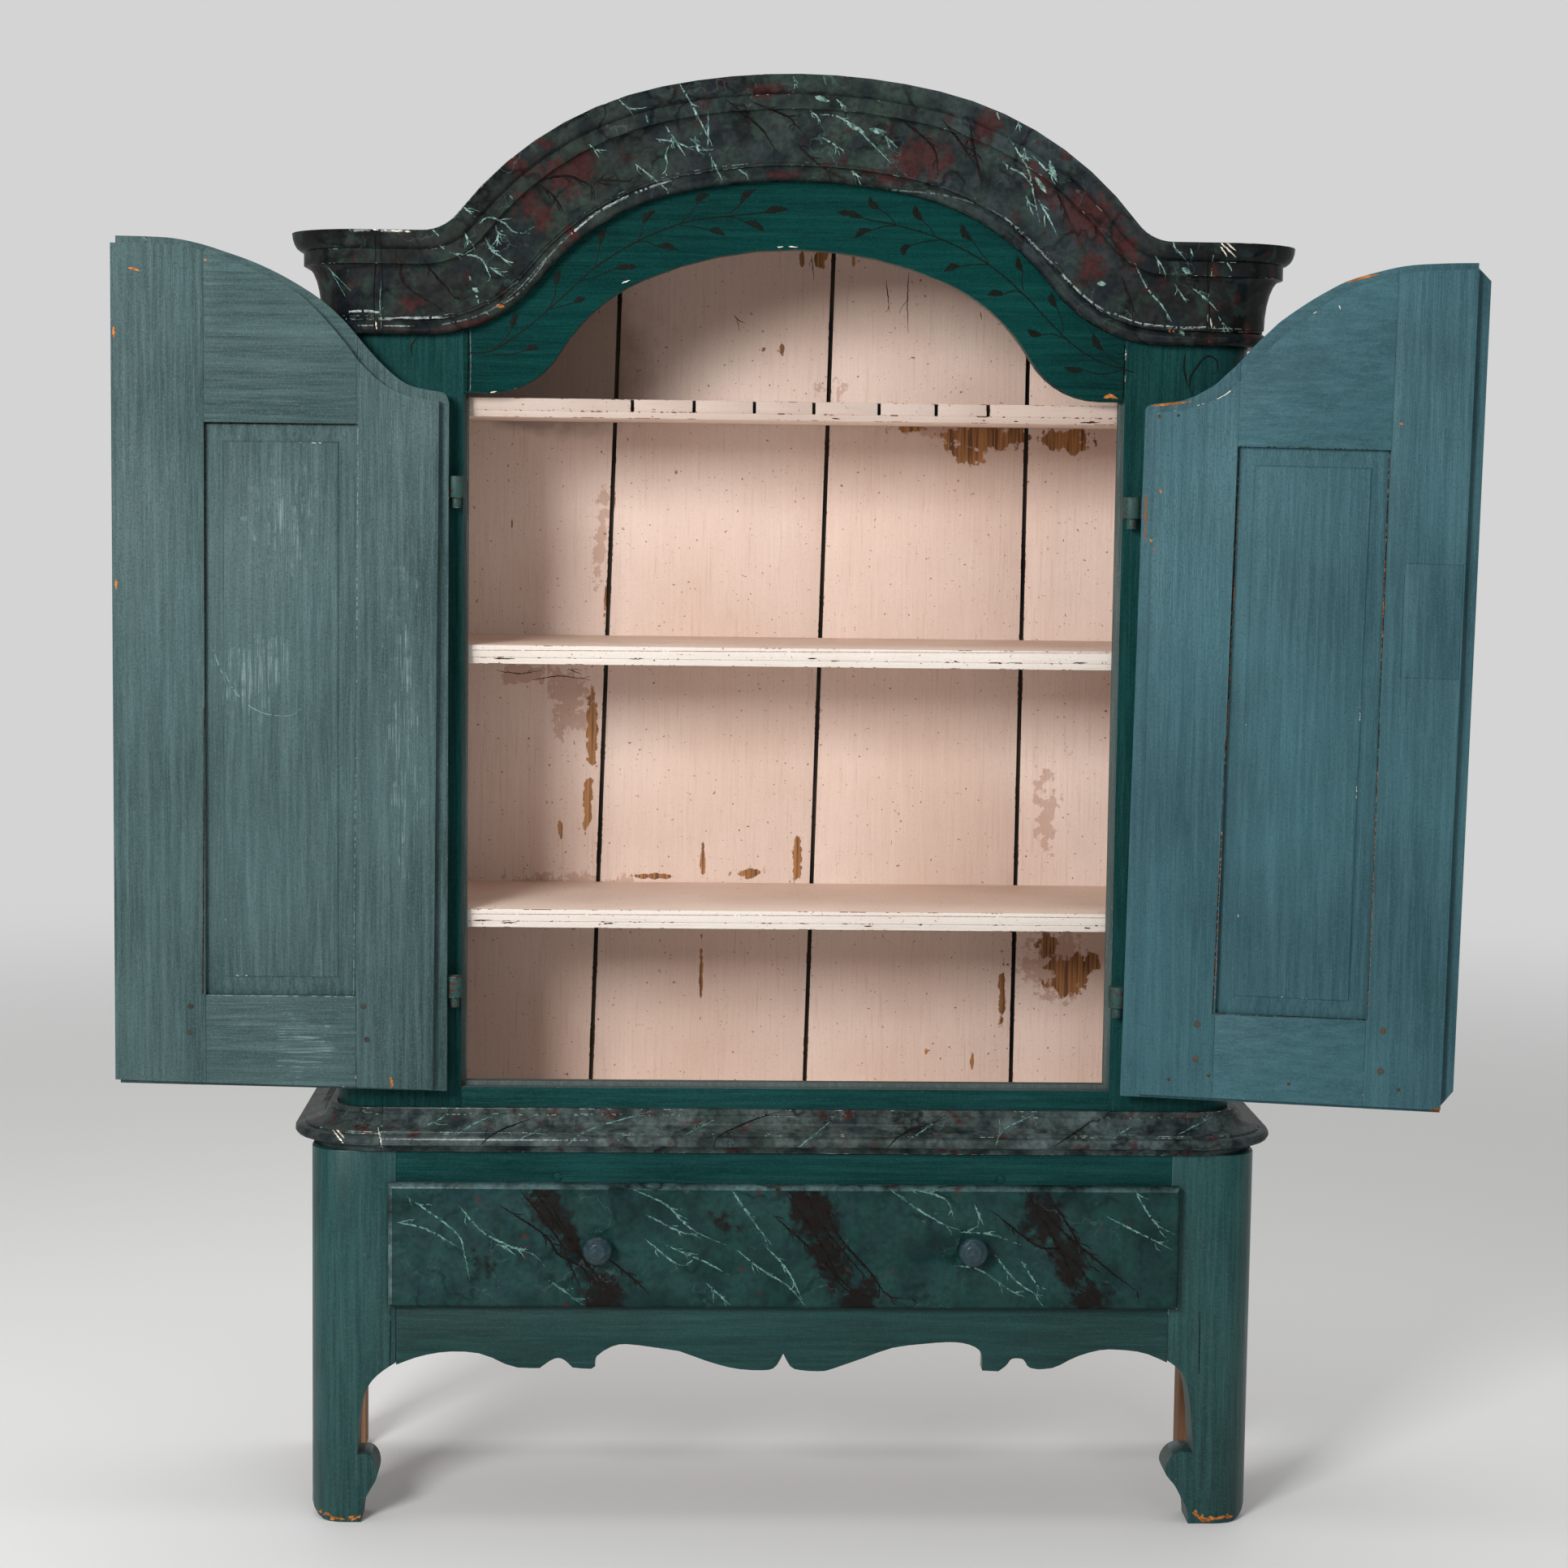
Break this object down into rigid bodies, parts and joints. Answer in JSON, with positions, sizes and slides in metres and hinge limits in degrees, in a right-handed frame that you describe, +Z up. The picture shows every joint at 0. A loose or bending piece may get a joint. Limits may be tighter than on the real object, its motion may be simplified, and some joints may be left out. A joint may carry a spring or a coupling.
{
  "type": "arched cupboard on a drawer base",
  "caption": "Free-standing painted cupboard with an arched cornice, open shelves behind panelled doors, and a low footed base that holds a wide drawer.",
  "frame": {"origin": "centre of the bounding box on the floor, with the doors standing open as in the rest pose", "axes": "+Z up, +Y to the back of the cupboard, +X to the right of someone who faces its doors"},
  "size_m": [1.8484, 0.4926, 2],
  "materials": {
    "green_paint": "dark green paint, worn satin, on wood",
    "door_paint": "blue-green paint, brushed satin, on wood",
    "pink_paint": "dull pink paint, worn in places, on wood",
    "marbled_paint": "marbled paint in grey-green and brown under gloss varnish",
    "drawer_paint": "marbled green paint, satin, on wood",
    "bare_wood": "bare old softwood",
    "painted_iron": "iron painted with the wood, rusty where it rubs"
  },
  "bodies": {
    "case": {"left_front_leg": "green_paint", "right_front_leg": "green_paint", "left_rear_leg": "bare_wood", "right_rear_leg": "bare_wood", "left_base_side": "green_paint", "right_base_side": "green_paint", "base_upper_rail": "green_paint", "left_rail_peg": "green_paint", "right_rail_peg": "green_paint", "apron": "green_paint", "base_back": "bare_wood", "left_drawer_runner": "bare_wood", "right_drawer_runner": "bare_wood", "left_stile": "green_paint", "right_stile": "green_paint", "sill_rail": "green_paint", "arched_frieze": "green_paint", "left_case_side": "green_paint", "right_case_side": "green_paint", "case_floor": "pink_paint", "top_shelf": "pink_paint", "middle_shelf": "pink_paint", "lower_shelf": "pink_paint", "back_board_1": "pink_paint", "back_board_2": "pink_paint", "back_board_3": "pink_paint", "back_board_4": "pink_paint", "roof_vault": "bare_wood", "cornice_front": "marbled_paint", "left_cornice_return": "marbled_paint", "right_cornice_return": "marbled_paint", "waist_front": "marbled_paint", "left_waist_return": "marbled_paint", "right_waist_return": "marbled_paint", "left_lower_pintle": "painted_iron", "left_upper_pintle": "painted_iron", "right_lower_pintle": "painted_iron", "right_upper_pintle": "painted_iron"},
    "left_door": {"left_door_hinge_stile": "door_paint", "left_door_meeting_stile": "door_paint", "left_door_top_rail": "door_paint", "left_door_bottom_rail": "door_paint", "left_door_panel": "door_paint", "left_door_upper_hinge_eye": "painted_iron", "left_door_lower_hinge_eye": "painted_iron"},
    "right_door": {"right_door_hinge_stile": "door_paint", "right_door_meeting_stile": "door_paint", "right_door_top_rail": "door_paint", "right_door_bottom_rail": "door_paint", "right_door_panel": "door_paint", "right_door_upper_hinge_eye": "painted_iron", "right_door_lower_hinge_eye": "painted_iron", "right_door_repair_patch": "door_paint"},
    "drawer": {"drawer_front": "drawer_paint", "left_drawer_side": "bare_wood", "right_drawer_side": "bare_wood", "drawer_back": "bare_wood", "drawer_bottom": "bare_wood", "left_drawer_knob": "drawer_paint", "right_drawer_knob": "drawer_paint"}
  },
  "joints": [
    {"name": "left_door_hinge", "type": "hinge", "parent": "case", "child": "left_door", "pos_m": [-0.46373, -0.13571, 1.1], "axis": [0, 0, 1], "range_deg": [0, 180]},
    {"name": "right_door_hinge", "type": "hinge", "parent": "case", "child": "right_door", "pos_m": [0.45827, -0.13571, 1.0863], "axis": [-0.0068, 0, -1], "range_deg": [-10, 169.9]},
    {"name": "drawer_slide", "type": "slide", "parent": "case", "child": "drawer", "axis": [0, -1, 0], "range_m": [0, 0.28]}
  ]
}
